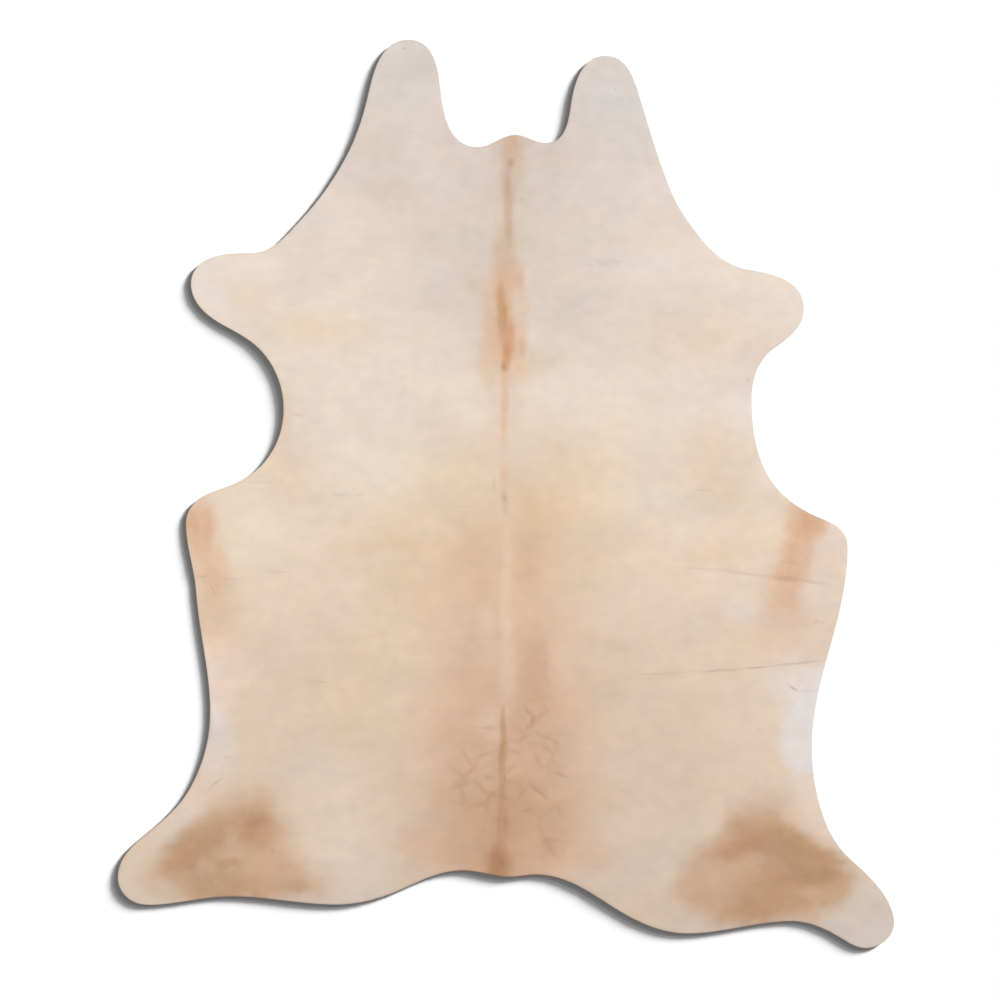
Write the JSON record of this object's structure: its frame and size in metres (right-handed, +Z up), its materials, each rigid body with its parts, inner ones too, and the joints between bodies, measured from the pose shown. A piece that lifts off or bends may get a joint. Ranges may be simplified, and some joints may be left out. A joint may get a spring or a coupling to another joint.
{
  "type": "cowhide",
  "caption": "Whole hair-on cowhide laid out flat, hair side up, with neck, leg and belly edges trimmed in flowing curves, for use as a rug or throw.",
  "frame": {"origin": "on the ground under the middle of the hide's length and width", "axes": "+Z up through the hair, +Y towards the neck, +X to the right of the hide seen from above"},
  "size_m": [1.881, 2.2, 0.0067],
  "materials": {
    "hair_coat": "short cattle hair lying flat, pale champagne to cream with tan patches, soft satin",
    "hide_leather": "tanned skin, sueded flesh side and plain cut edge, matt"
  },
  "bodies": {
    "root": {"hide": "hair_coat"}
  },
  "joints": []
}
